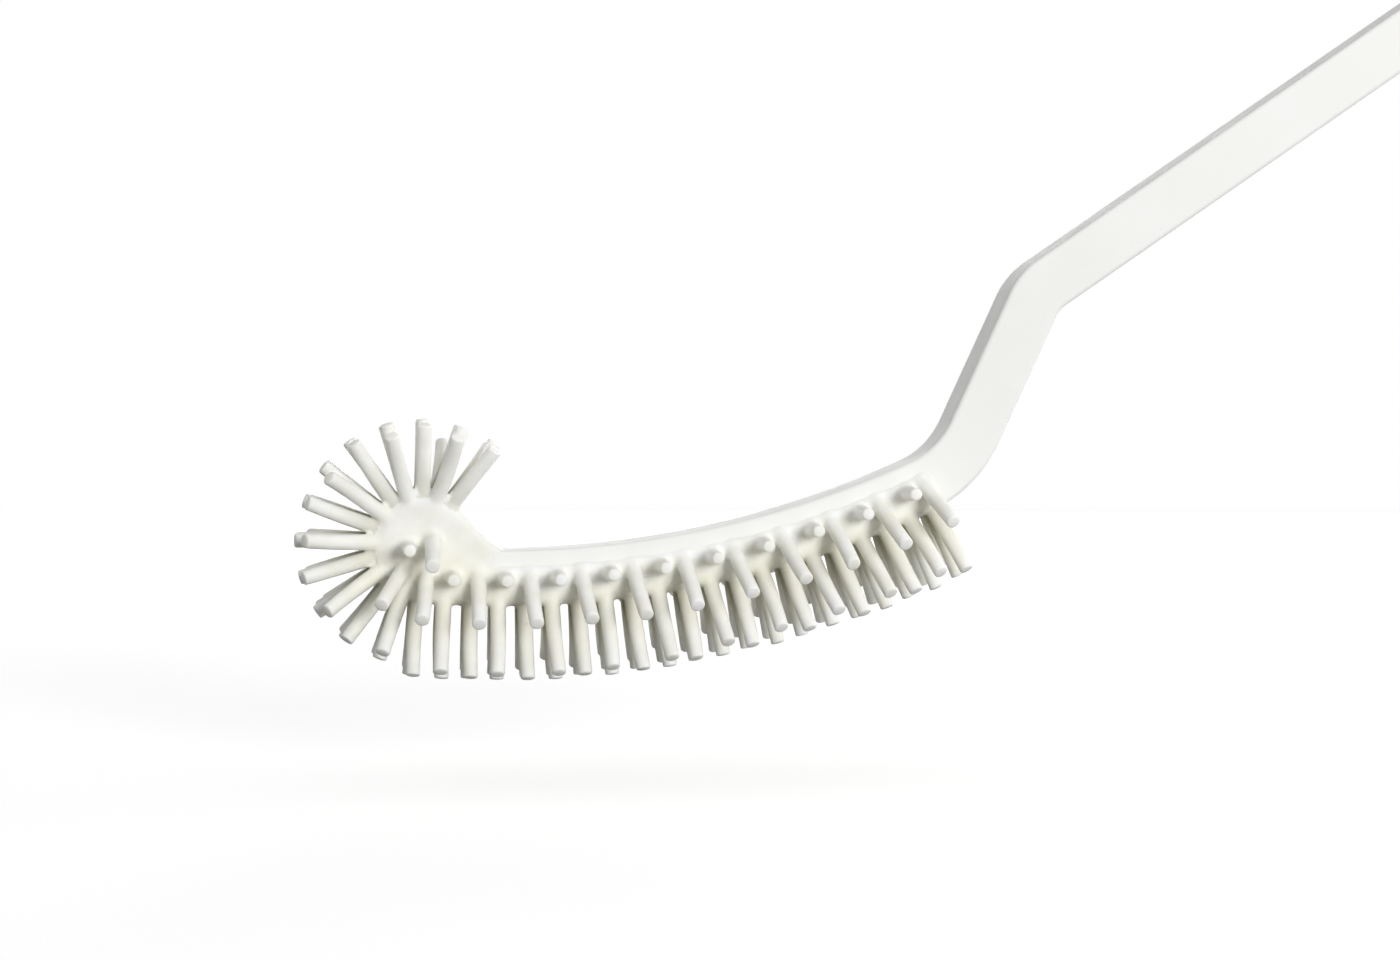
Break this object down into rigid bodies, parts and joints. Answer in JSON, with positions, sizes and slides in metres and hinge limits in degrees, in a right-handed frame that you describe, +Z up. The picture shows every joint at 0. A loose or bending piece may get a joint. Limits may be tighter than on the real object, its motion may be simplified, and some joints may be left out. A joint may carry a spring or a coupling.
{
  "type": "toilet brush",
  "caption": "White toilet brush with a bent bar handle, a shallow arched head, rows of soft rubber fingers under it and a fan of fingers round its raised round tip.",
  "frame": {"origin": "on the bar's centreline, in the middle of the hand grip", "axes": "+X from the finger tip end towards the handle end, +Z up with the finger rows pointing down as the brush is held in use, +Y across the bar's thickness"},
  "size_m": [0.3737, 0.0502, 0.2266],
  "materials": {
    "handle_plastic": "satin white moulded polypropylene",
    "finger_rubber": "matt warm white thermoplastic rubber"
  },
  "bodies": {
    "root": {"handle_core": "handle_plastic", "tip_fingers": "finger_rubber", "toe_fingers": "finger_rubber", "middle_fingers": "finger_rubber", "heel_fingers": "finger_rubber"}
  },
  "joints": []
}
